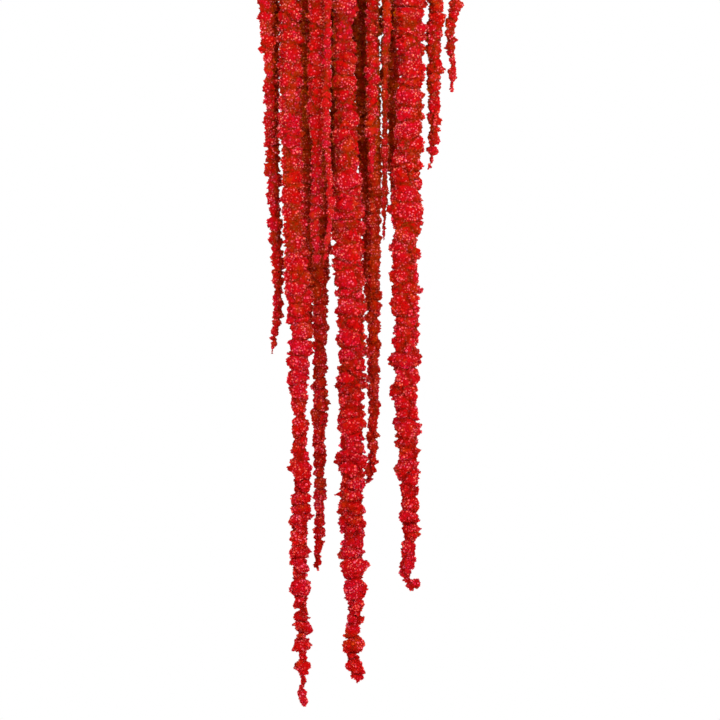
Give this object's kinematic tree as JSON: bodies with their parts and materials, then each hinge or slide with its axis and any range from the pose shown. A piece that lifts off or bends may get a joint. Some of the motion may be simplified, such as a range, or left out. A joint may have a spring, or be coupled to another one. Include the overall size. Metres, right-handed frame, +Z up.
{
  "type": "potted love-lies-bleeding",
  "caption": "Hanging clay bowl of love-lies-bleeding: leafy stems lean over the rim and carry long, knobbly crimson flower tassels that hang far below the bowl.",
  "frame": {"origin": "top of the inside of the hook's bend, where the hook bears on what it hangs from", "axes": "+Z up along the shank, -Y towards the long tassels over the front rim, +X to the right seen from the front"},
  "size_m": [0.3441, 0.3572, 0.9928],
  "materials": {
    "steel": "satin",
    "clay": "matte",
    "soil": "matte",
    "foliage": "satin",
    "flowers": "matte"
  },
  "bodies": {
    "root": {"hanger_hook": "steel", "hanger_wire_1": "steel", "hanger_wire_2": "steel", "hanger_wire_3": "steel", "pot": "clay", "soil": "soil", "leafy_stem_left": "foliage", "leafy_stem_middle": "foliage", "leafy_stem_right": "foliage", "leafy_stem_left_back": "foliage", "leafy_stem_back": "foliage", "leafy_stem_right_back": "foliage", "leafy_stem_crown": "foliage", "tassel_left_main": "flowers", "tassel_middle_main": "flowers", "tassel_right_main": "flowers", "tassel_left_outer_front": "flowers", "tassel_left_outer": "flowers", "tassel_left_inner": "flowers", "tassel_left_shade": "flowers", "tassel_middle_long": "flowers", "tassel_middle_thread": "flowers", "tassel_middle_shade_left": "flowers", "tassel_middle_shade": "flowers", "tassel_middle_right": "flowers", "tassel_middle_right_long": "flowers", "tassel_right_hook": "flowers", "tassel_right_thread": "flowers", "tassel_right_shade": "flowers", "tassel_right_outer": "flowers", "tassel_right_far": "flowers", "tassel_left_back": "flowers", "tassel_left_back_side": "flowers", "tassel_back": "flowers", "tassel_back_side": "flowers", "tassel_right_back": "flowers", "tassel_right_back_side": "flowers"}
  },
  "joints": []
}
